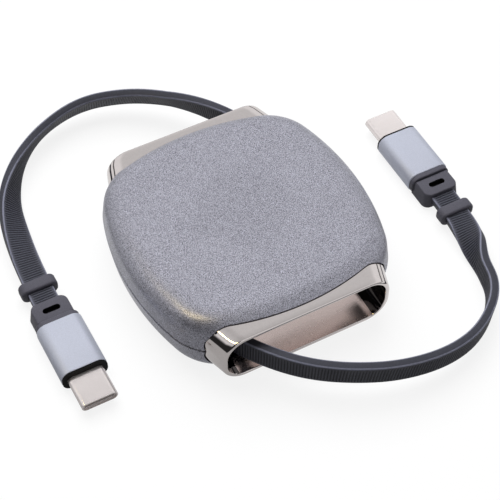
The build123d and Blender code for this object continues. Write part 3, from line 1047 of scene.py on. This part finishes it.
@dataclass
class Plug:
    """One plug with its boot and bead, modelled along Y and set at the cable's end."""

    side: Side
    across: float
    back: float
    middle: float = 2.75 * MM
    sleeve_width: float = 10.5 * MM
    sleeve_height: float = 5.5 * MM
    sleeve_length: float = 14.1 * MM
    sleeve_corner: float = 2.3 * MM
    sleeve_wall: float = 0.45 * MM
    sleeve_edge: float = 0.2 * MM
    cap: float = 0.35 * MM
    cap_inset: float = 0.05 * MM
    shell_width: float = 8.25 * MM
    shell_height: float = 2.4 * MM
    shell_wall: float = 0.3 * MM
    shell_edge: float = 0.135 * MM
    shell_reach: float = 7.6 * MM
    shell_seat: float = 4.5 * MM
    flange: float = 1.2 * MM
    flange_inset: float = 0.2 * MM
    flange_edge: float = 0.3 * MM
    boot_width: float = 9.5 * MM
    boot_height: float = 3.9 * MM
    boot_length: float = 5.6 * MM
    boot_root: float = 0.4 * MM
    boot_corner: float = 1.7 * MM
    boot_draw: float = 0.5 * MM
    boot_rear_draw: float = 0.3 * MM
    boot_edge: float = 0.3 * MM
    slot_length: float = 4.1 * MM
    slot_width: float = 1.45 * MM
    slot_share: float = 0.45
    slot_web: float = 1.0 * MM
    # reach of the painted shade inside the slots, as shares of the boot's height and of the slot
    slot_top: float = 0.45
    slot_reach: float = 0.51
    bead_width: float = 8.6 * MM
    bead_height: float = 4.0 * MM
    bead_length: float = 3.0 * MM
    bead_corner: float = 1.6 * MM
    bead_edge: float = 0.6 * MM
    bead_gap: float = 3.4 * MM
    hole_width: float = 6.1 * MM
    hole_height: float = 2.1 * MM
    hole_corner: float = 0.4 * MM
    metal_steps: int = 14
    rubber_steps: int = 10
    boot_corner_steps: int = 8
    boot_edge_steps: int = 4
    bead_edge_steps: int = 5
    hole_steps: int = 5
    fine_steps: int = 3

    @property
    def label(self) -> str:
        """The plug's side as a word."""
        return self.side.name.lower()

    def place(self, piece: Object, forward: float) -> Object:
        """Set a piece's mesh at the plug's end of the cable.

        Args:
            piece: a piece modelled along Y.
            forward: distance of its start from the sleeve's back.

        Returns:
            The same piece.
        """
        shift(piece, y=self.back + forward)
        rotate(piece, 0.0 if self.side is Side.RIGHT else math.pi, "Z")
        shift(piece, x=self.across, z=self.middle)
        return piece

    def core(self, inset: float) -> Bar:
        """A bar that lies evenly inside the sleeve's outside."""
        width, height = self.sleeve_width - 2 * inset, self.sleeve_height - 2 * inset
        return Bar(width, height, self.sleeve_corner - inset, self.rubber_steps)

    def sleeve(self) -> Object:
        """The satin sleeve, a round-edged tube.

        Returns:
            The sleeve, in place.
        """
        bar = Bar(self.sleeve_width, self.sleeve_height, self.sleeve_corner, self.metal_steps)
        length = self.sleeve_length - self.cap
        piece = bar.build(self.label + "_sleeve", length)
        bar.bore(piece, self.sleeve_wall)
        bar.ease(piece, (0.0, length), self.sleeve_edge, self.fine_steps)
        return self.place(piece, 0.0)

    def insert(self) -> Object:
        """The black core that fills the sleeve and caps its front, with the connector's pocket.

        Returns:
            The core, in place.
        """
        outside = self.core(self.cap_inset)
        inside = self.sleeve_length - self.cap
        piece = outside.build(self.label + "_insert", self.cap)
        shift(piece, y=inside)
        pick_faces(piece, lambda face: face.normal.y < -FACING)
        draw = 2 * (self.sleeve_wall - self.cap_inset)
        drawn = (1 - draw / outside.width, 1.0, 1 - draw / outside.height)
        bpy.ops.mesh.extrude_region_move()
        bpy.ops.transform.resize(value=drawn, center_override=(0.0, 0.0, 0.0))
        bpy.ops.mesh.extrude_region_move(TRANSFORM_OT_translate={"value": (0.0, -inside, 0.0)})
        close_edit()
        pocket = Bar(self.shell_width, self.shell_height, self.shell_height * FULL_ROUND)
        cutter = pocket.build("pocket", self.shell_seat * 2)
        shift(cutter, y=self.sleeve_length - self.shell_seat)
        cut_away(piece, cutter)
        return self.place(piece, 0.0)

    def shell(self) -> Object:
        """The connector's drawn steel shell.

        Returns:
            The shell, in place.
        """
        corner = self.shell_height * FULL_ROUND
        bar = Bar(self.shell_width, self.shell_height, corner, self.metal_steps)
        length = self.shell_reach + self.shell_seat
        piece = bar.build(self.label + "_connector", length)
        bar.bore(piece, self.shell_wall)
        bar.ease(piece, (length,), self.shell_edge, self.fine_steps)
        return self.place(piece, self.sleeve_length - self.shell_seat)

    def block(self) -> Object:
        """The boot's drafted block, from a cube drawn in at its top, with a slot above and below.

        Returns:
            The block, behind the flange's back at zero.
        """
        length = self.boot_length + self.boot_root
        middle = self.boot_root - length / 2
        top = self.boot_height / 2
        size = (self.boot_width, length, self.boot_height)
        piece = add_box(self.label + "_block", size, (0.0, middle, 0.0))
        pick_faces(piece, lambda face: face.normal.z > FACING)
        shorter = (self.boot_draw + self.boot_rear_draw) / length
        fixed = self.boot_rear_draw / shorter - self.boot_length
        narrower = (1 - 2 * self.boot_draw / self.boot_width, 1 - shorter, 1.0)
        bpy.ops.transform.resize(value=narrower, center_override=(0.0, fixed, top))
        close_edit()
        rear = middle - length / 4

        def at_rear(first: Vector, last: Vector) -> bool:
            """Whether an edge is an upright one at the rear."""
            return abs(first.z - last.z) > top and max(first.y, last.y) < rear

        def at_top(first: Vector, last: Vector) -> bool:
            """Whether an edge lies round the top face."""
            return min(first.z, last.z) > top - TOUCH

        bevel(piece, at_rear, self.boot_corner, self.boot_corner_steps)
        bevel(piece, at_top, self.boot_edge, self.boot_edge_steps)
        corner = self.slot_width * FULL_ROUND
        slot = Bar(self.slot_length, self.slot_width, corner, self.rubber_steps)
        for start in (self.slot_web / 2, -self.slot_web / 2 - self.boot_height):
            cutter = slot.build("slot", self.boot_height)
            rotate(cutter, math.pi / 2, "X")
            shift(cutter, y=-self.boot_length * self.slot_share, z=start)
            cut_away(piece, cutter)
        return piece

    def boot(self) -> Object:
        """The rubber boot: a flange behind the sleeve and the slotted block round the cable.

        Returns:
            The boot, in place.
        """
        bar = self.core(self.flange_inset)
        piece = bar.build(self.label + "_boot", self.flange)
        bar.ease(piece, (0.0,), self.flange_edge, self.fine_steps)
        block = self.block()
        take(piece)
        block.select_set(True)
        bpy.ops.object.join()
        return self.place(piece, -self.flange)

    def paint_slot_shade(self, piece: Object) -> None:
        """Paint shade inside the boot's slots with the insert's black.

        Args:
            piece: the boot, in place and dressed.
        """
        middle = self.back - self.flange - self.boot_length * self.slot_share
        reach, half = self.slot_length * self.slot_reach, self.slot_width * self.slot_reach
        # painted shade: the faces inside the slots take the insert's black
        piece.data.materials.append(INSERT.material())
        for face in piece.data.polygons:
            aside = abs(face.center.x - self.across)
            off = abs(face.center.y * self.side.value - middle)
            deep = abs(face.center.z - self.middle) < self.boot_height * self.slot_top
            if deep and aside < reach and off < half:
                face.material_index = 1

    def bead(self) -> Object:
        """The rubber bead that stands off from the boot on the cable.

        Returns:
            The bead, in place.
        """
        bar = Bar(self.bead_width, self.bead_height, self.bead_corner, self.rubber_steps)
        piece = bar.build(self.label + "_bead", self.bead_length)
        bar.ease(piece, (0.0, self.bead_length), self.bead_edge, self.bead_edge_steps)
        hole = Bar(self.hole_width, self.hole_height, self.hole_corner, self.hole_steps)
        cutter = hole.build("hole", self.bead_length * 3)
        shift(cutter, y=-self.bead_length)
        cut_away(piece, cutter)
        behind = self.flange + self.boot_length + self.bead_gap + self.bead_length
        return self.place(piece, -behind)

    def finish(self) -> list[Object]:
        """Build the plug's pieces, dress them and set them on the cable.

        Returns:
            The pieces that go with the cable, with the carried-over liner and contacts.
        """
        made = []
        for build, finish, node in (
            (self.sleeve, SLEEVE, "_plug_sleeve"),
            (self.insert, INSERT, "_plug_insert"),
            (self.shell, STEEL, "_plug_shell"),
            (self.boot, BOOT, "_plug_boot"),
            (self.bead, BOOT, "_cable_bead"),
        ):
            piece = build()
            smooth(piece)
            seat(piece, finish, self.label + node)
            if build == self.boot:
                self.paint_slot_shade(piece)
            made.append(piece)
        for node in ("_plug_liner", "_plug_contacts"):
            made.append(frame["nodes"][self.label + node])
        return made


# Cables: flat ribbed ribbons that stand on edge at the mouth and lie flat at the plug
@dataclass
class RibbonCable:
    """A flat cable along a smooth route, with cross ribs on its wide faces."""

    name: str
    route: Sequence[Triple]
    exit: Triple
    twist_start: float
    lean: float
    width: float = 6.0 * MM
    thickness: float = 2.0 * MM
    corner: float = 0.4 * MM
    margin: float = 0.25 * MM
    # painted shade on the narrow sides; painted highlight, below zero, on the corners
    painted_side_shade: float = 0.55
    painted_corner_light: float = -2.8
    rib_pitch: float = 0.64 * MM
    rib_depth: float = 0.18 * MM
    rib_shape: float = 1.5
    steps_per_rib: int = 6
    twist_end: float = 7.5 * MM
    lean_start: float = 28.0 * MM
    lean_full: float = 46.0 * MM
    crease: float = 50.0

    def line(self) -> list[Vector]:
        """The route's smooth line, read from its spline.

        Returns:
            Points at even steps, as many for each rib.
        """
        curve = bpy.data.curves.new(self.name + "_route", "CURVE")
        curve.dimensions = "3D"
        spline = curve.splines.new("NURBS")
        spline.points.add(len(self.route) - 1)
        for point, place in zip(spline.points, self.route):
            point.co = (place[0] * MM, place[1] * MM, place[2] * MM, 1.0)
        spline.order_u = 3
        spline.use_endpoint_u = True
        spline.resolution_u = 40
        guide = bpy.data.objects.new(self.name + "_route", curve)
        drawn = bpy.data.meshes.new_from_object(guide)
        points = [vertex.co.copy() for vertex in drawn.vertices]
        bpy.data.objects.remove(guide, do_unlink=True)
        bpy.data.curves.remove(curve)
        bpy.data.meshes.remove(drawn)
        gaps = ((here - before).length for before, here in pairwise(points))
        marks = list(accumulate(gaps, initial=0.0))
        count = round(marks[-1] / self.rib_pitch) * self.steps_per_rib
        even = []
        at = 0
        for step in range(count + 1):
            wanted = marks[-1] * step / count
            while at < len(marks) - 2 and marks[at + 1] < wanted:
                at += 1
            share = (wanted - marks[at]) / (marks[at + 1] - marks[at])
            even.append(points[at].lerp(points[at + 1], share))
        return even

    def section(self) -> list[tuple[float, float, float, float]]:
        """The cable's section, with how much of a rib and how much painted shade each point
        carries: darker on the narrow sides, a painted highlight at the corners.

        Returns:
            Place across the width, place across the thickness, share of a rib, and painted shade.
        """
        plan = rounded_rectangle(self.width, self.thickness, self.corner, run=10, turn=3, rise=2)
        inner = self.width / 2 - self.corner - self.margin
        made = []
        for x, y in plan.points():
            if abs(y) > self.thickness / 2 - TOUCH:
                made.append((x, y, unit((inner - abs(x)) / (self.margin / 2)), 0.0))
            elif abs(x) > self.width / 2 - TOUCH:
                made.append((x, y, 0.0, self.painted_side_shade))
            else:
                made.append((x, y, 0.0, self.painted_corner_light))
        return made

    def roll(self, gone: float, left: float) -> float:
        """Turn of the cable about its line, from on edge towards flat.

        Args:
            gone: distance from the cable's start.
            left: distance to the cable's end.

        Returns:
            The angle in radians.
        """
        leaned = unit((gone - self.lean_start) / (self.lean_full - self.lean_start))
        share = unit((self.twist_start - left) / (self.twist_start - self.twist_end))
        flat = share * share * (3 - 2 * share)
        return self.lean * leaned * (1 - flat) + math.pi / 2 * flat

    @staticmethod
    def measure(line: Sequence[Vector]) -> float:
        """Length of a line of points."""
        return sum((here - before).length for before, here in pairwise(line))

    def build(self) -> tuple[Object, list[Vector]]:
        """Model the ribbon along its route.

        Returns:
            The cable and the points that its middle follows.
        """
        line = self.line()
        length = self.measure(line)
        section = self.section()
        rings = [[line[0]] * len(section)]
        painted_shades = [[0.0] * len(section)]
        for number, here in enumerate(line):
            along = (line[min(number + 1, len(line) - 1)] - line[max(number - 1, 0)]).normalized()
            gone = length * number / (len(line) - 1)
            roll = self.roll(gone, length - gone)
            level = Vector((along.y, -along.x, 0.0)).normalized()
            upright = level.cross(along).normalized()
            wide = upright * math.cos(roll) + level * math.sin(roll)
            thick = along.cross(wide)
            phase = 2 * math.pi * number / self.steps_per_rib
            dip = (0.5 - 0.5 * math.cos(phase)) ** self.rib_shape
            ring = []
            for x, y, share, _ in section:
                sunk = math.copysign(abs(y) - self.rib_depth * dip * share, y)
                ring.append(here + wide * x + thick * sunk)
            rings.append(ring)
            # painted shade: rib grooves darkened by their depth, narrow sides darker, corners
            # painted lighter
            painted_shades.append([dip * share + shade for _, _, share, shade in section])
        rings.append([line[-1]] * len(section))
        painted_shades.append([0.0] * len(section))
        return wrap_rings(self.name + "_ribbed", rings, painted_shades), line

    def finish(self, pieces: Sequence[Object]) -> Object:
        """Args:
            pieces: the plug's pieces; not used.

        Returns:
            The cable.
        """
        piece, line = self.build()
        smooth(piece, self.crease)
        seat(piece, CABLE, self.name)
        return piece


# Control points in millimetres, from the reel to the boot
FRONT_ROUTE = (
    (-21.3, -4.6, 8.6), (-19.35, -13.4, 8.6), (-16.6, -22.2, 8.6), (-11.7, -30.4, 8.55),
    (-5.3, -37.5, 8.3), (2.95, -42.8, 7.75), (13.05, -46.55, 6.7), (24.2, -47.4, 5.35),
    (34.0, -44.8, 4.3), (42.95, -37.5, 3.85), (45.15, -28.25, 3.3), (48.2, -17.6, 2.8),
    (48.3, -7.2, 2.75),
)
REAR_ROUTE = (
    (21.3, 4.6, 8.6), (19.35, 13.4, 8.6), (16.9, 22.3, 8.6), (14.0, 31.9, 8.3),
    (9.2, 40.6, 7.95), (2.7, 48.4, 6.85), (-5.2, 54.05, 5.9), (-15.5, 56.85, 5.4),
    (-26.4, 54.5, 4.3), (-34.75, 48.45, 3.6), (-40.85, 39.65, 3.35), (-43.5, 31.0, 3.1),
    (-45.1, 17.3, 2.75), (-45.2, 6.4, 2.75),
)


# Studio: floor, soft light and the camera
@dataclass
class Studio:
    """A pale floor under a soft bright ceiling, seen from above the front left."""

    azimuth: float = math.radians(-27.92)
    elevation: float = math.radians(51.975)
    distance: float = 319.68 * MM
    aside: float = 1.393 * MM
    below: float = 3.574 * MM
    middle: float = 8.6 * MM
    lens: float = 103.28
    floor_size: float = 3.0
    floor_drop: float = 0.05 * MM
    floor_tone: Color = (0.92, 0.92, 0.92, 1.0)
    floor_bounce: float = 0.4
    mirrored_drop: float = -0.33
    floor_glow: float = 0.85
    fade_way: Triple = (-0.5, -0.87, 0.0)
    fade_range: Pair = (16.0 * MM, 36.0 * MM)
    fade_glow: Pair = (0.78, 0.38)
    room_light: Color = (0.15, 0.15, 0.155, 1.0)
    room_white: Color = (1.0, 1.0, 1.0, 1.0)
    blue_gain: float = 1.01
    bright_side: Sequence[Pair] = (
        (0.0, 0.3), (0.02, 0.05), (0.08, 0.05), (0.12, 0.82),
        (0.5, 0.82), (0.66, 0.64), (0.84, 0.62), (1.0, 0.42),
    )
    dark_side: Sequence[Pair] = (
        (0.0, 0.2), (0.02, 0.02), (0.6, 0.02), (0.72, 0.62), (0.84, 0.62), (1.0, 0.42),
    )
    dark_way: Triple = (-0.9, -0.43, 0.0)
    dark_range: Pair = (0.66, 0.78)
    patch_tone: Color = (0.02, 0.02, 0.02, 1.0)
    patch_way: Triple = (-0.55, -0.5, 0.67)
    patch_range: Pair = (0.87, 0.93)
    warm_color: Triple = (1.0, 0.8, 0.36)
    warm_turn: float = math.radians(38.0)

    @staticmethod
    def hang(name: str, data: bpy.types.ID, place: Sequence[float], facing: Vector) -> Object:
        """Hang a lamp or a camera in the studio.

        Args:
            name: its name.
            data: what it is.
            place: where it hangs, in metres.
            facing: the way that it looks.

        Returns:
            The new object.
        """
        hung = bpy.data.objects.new(name, data)
        bpy.context.scene.collection.objects.link(hung)
        hung.location = place
        hung.rotation_mode = "QUATERNION"
        hung.rotation_quaternion = facing.to_track_quat("-Z", "Y")
        return hung

    def camera(self) -> Object:
        """The camera at the photograph's place.

        Returns:
            The scene's camera.
        """
        turn, level = self.azimuth, math.cos(self.elevation)
        back = Vector((math.sin(turn) * level, -math.cos(turn) * level, math.sin(self.elevation)))
        right = Vector((math.cos(turn), math.sin(turn), 0.0))
        up = back.cross(right)
        data = bpy.data.cameras.new("camera")
        data.lens = self.lens
        data.sensor_width = 36.0
        data.clip_start = 0.01
        data.clip_end = 20.0
        target = Vector((0.0, 0.0, self.middle))
        place = target + right * self.aside - up * self.below + back * self.distance
        camera = self.hang("camera", data, place, -back)
        bpy.context.scene.camera = camera
        return camera

    def floor(self) -> Object:
        """A wide pale floor that shows white and keeps a soft shadow.

        Returns:
            The floor.
        """
        clear_selection()
        drop = (0.0, 0.0, -self.floor_drop)
        bpy.ops.mesh.primitive_plane_add(size=self.floor_size, location=drop)
        piece = new_piece("floor")
        made = bpy.data.materials.new("floor_paper")
        made.use_nodes = True
        graph = Graph(made.node_tree)
        path = graph.add("LightPath")
        seen, mirrored = path["Is Camera Ray"], path["Is Glossy Ray"]
        dim = graph.work_out("MULTIPLY_ADD", mirrored, self.mirrored_drop, self.floor_bounce)
        tone = graph.blended(seen, dim, self.floor_tone)
        paper = made.node_tree.nodes["Principled BSDF"]
        graph.feed(paper, {"Base Color": tone, "Roughness": 0.9, "Specular IOR Level": 0.0})
        away = graph.along(graph.add("TexCoord")["Object"], self.fade_way)
        fade = graph.ranged(away, self.fade_range, self.fade_glow)
        to_camera = graph.work_out("MULTIPLY", seen, self.floor_glow)
        to_mirrors = graph.work_out("MULTIPLY", mirrored, fade)
        share = graph.work_out("MAXIMUM", to_camera, to_mirrors)
        mix = graph.layered(share, paper.outputs["BSDF"], graph.add("Emission")["Emission"])
        graph.feed(made.node_tree.nodes["Material Output"], {"Surface": mix})
        piece.data.materials.append(made)
        return piece

    def levels(self, graph: Graph, share: NodeSocket, marks: Sequence[Pair]) -> NodeSocket:
        """A ramp of grey levels.

        Args:
            graph: the world's graph.
            share: the value from 0 to 1 that runs along the ramp.
            marks: place from 0 to 1 and grey level of each mark, in order.

        Returns:
            The ramp's colour.
        """
        ramp = graph.tree.nodes.new("ShaderNodeValToRGB")
        graph.feed(ramp, {"Fac": share})
        made = ramp.color_ramp.elements
        made[0].position, made[1].position = marks[0][0], marks[-1][0]
        for at, _ in marks[1:-1]:
            made.new(at)
        for mark, (_, level) in zip(made, marks):
            mark.color = (level, level, level * self.blue_gain, 1.0)
        return ramp.outputs["Color"]

    def world(self) -> None:
        """A room of even light, white to the camera.

        In reflections it is bright, but dark on one side and round the camera.
        """
        world = bpy.data.worlds.new("studio")
        bpy.context.scene.world = world
        world.use_nodes = True
        graph = Graph(world.node_tree)
        even = world.node_tree.nodes["Background"]
        graph.feed(even, {"Color": self.room_light})
        way = graph.add("TexCoord")["Generated"]
        height = graph.add("SeparateXYZ", {"Vector": way})["Z"]
        aside, facing = graph.along(way, self.dark_way), graph.along(way, self.patch_way)
        turned = graph.ranged(aside, self.dark_range, shape="SMOOTHSTEP")
        near = graph.ranged(facing, self.patch_range, shape="SMOOTHSTEP")
        bright = self.levels(graph, height, self.bright_side)
        dark = self.levels(graph, height, self.dark_side)
        patch = graph.blended(near, graph.blended(turned, bright, dark), self.patch_tone)
        room = graph.add("Background", {"Color": patch})["Background"]
        white = graph.add("Background", {"Color": self.room_white})["Background"]
        path = graph.add("LightPath")
        mirrored = graph.layered(path["Is Glossy Ray"], even.outputs["Background"], room)
        seen = graph.layered(path["Is Camera Ray"], mirrored, white)
        graph.feed(world.node_tree.nodes["World Output"], {"Surface": seen})

    def lamp(self, name: str, place: Triple, size: Pair, power: float, mirrored: bool) -> Object:
        """A soft lamp that faces the object.

        Args:
            name: the lamp's name.
            place: where it hangs, in metres.
            size: its width and height in metres.
            power: its power in watts.
            mirrored: whether it only shows in reflections, or never does.

        Returns:
            The lamp.
        """
        data = bpy.data.lights.new(name, "AREA")
        data.shape = "RECTANGLE"
        data.size, data.size_y = size
        data.energy = power
        lamp = self.hang(name, data, place, -Vector(place))
        lamp.visible_glossy = mirrored
        lamp.visible_diffuse = not mirrored
        return lamp

    def finish(self) -> None:
        """Set up the floor, the light and the camera."""
        self.camera()
        self.floor()
        self.world()
        self.lamp("ceiling", (0.08, 0.4, 0.82), size=(0.9, 0.9), power=12.5, mirrored=False)
        warm = self.lamp("warm", (-0.33, 0.0, 0.5), size=(0.35, 0.03), power=0.5, mirrored=True)
        warm.data.color = self.warm_color
        warm.rotation_quaternion @= Quaternion((0.0, 0.0, 1.0), self.warm_turn)
        bpy.context.scene.view_settings.view_transform = "Standard"


def dress_nodes() -> None:
    """Give each carried-over node the finish of its slot."""
    by_slot = {finish.slot: finish for finish in FINISHES}
    slots = {part["node"]: part["material_slot"] for part in frame["record"]["subparts"]}
    for name, node in frame["nodes"].items():
        dress(node, by_slot[slots[name]])


def report(kind: str, pieces: Sequence[Object]) -> None:
    """Log the name and the number of faces of each piece."""
    for piece in pieces:
        log.info("%s %s, %d faces", kind, piece.name, len(piece.data.polygons))


def main() -> None:
    """Build every sub-assembly in order and report each piece."""
    logging.basicConfig(level=logging.INFO, format="%(name)s: %(message)s")
    Studio().finish()
    dress_nodes()
    collars = [Collar(mouth) for mouth in Mouth]
    report("shell", Housing(collars=collars).finish())
    report("collar", [collar.finish() for collar in collars])
    right = Plug(Side.RIGHT, across=48.3 * MM, back=-1.0 * MM).finish()
    left = Plug(Side.LEFT, across=-45.2 * MM, back=-0.2 * MM).finish()
    report("plug piece", right + left)
    mouth_y = collars[0].mouth_at
    front = RibbonCable(
        "front_cable", FRONT_ROUTE, exit=(-12.6 * MM, -mouth_y, 8.55 * MM),
        twist_start=24.0 * MM, lean=math.radians(4.6),
    )
    rear = RibbonCable(
        "rear_cable", REAR_ROUTE, exit=(14.4 * MM, mouth_y, 8.4 * MM),
        twist_start=58.0 * MM, lean=math.radians(-25.0),
    )
    report("cable", [front.finish(right), rear.finish(left)])
    clear_selection()


if __name__ == "__main__":
    main()
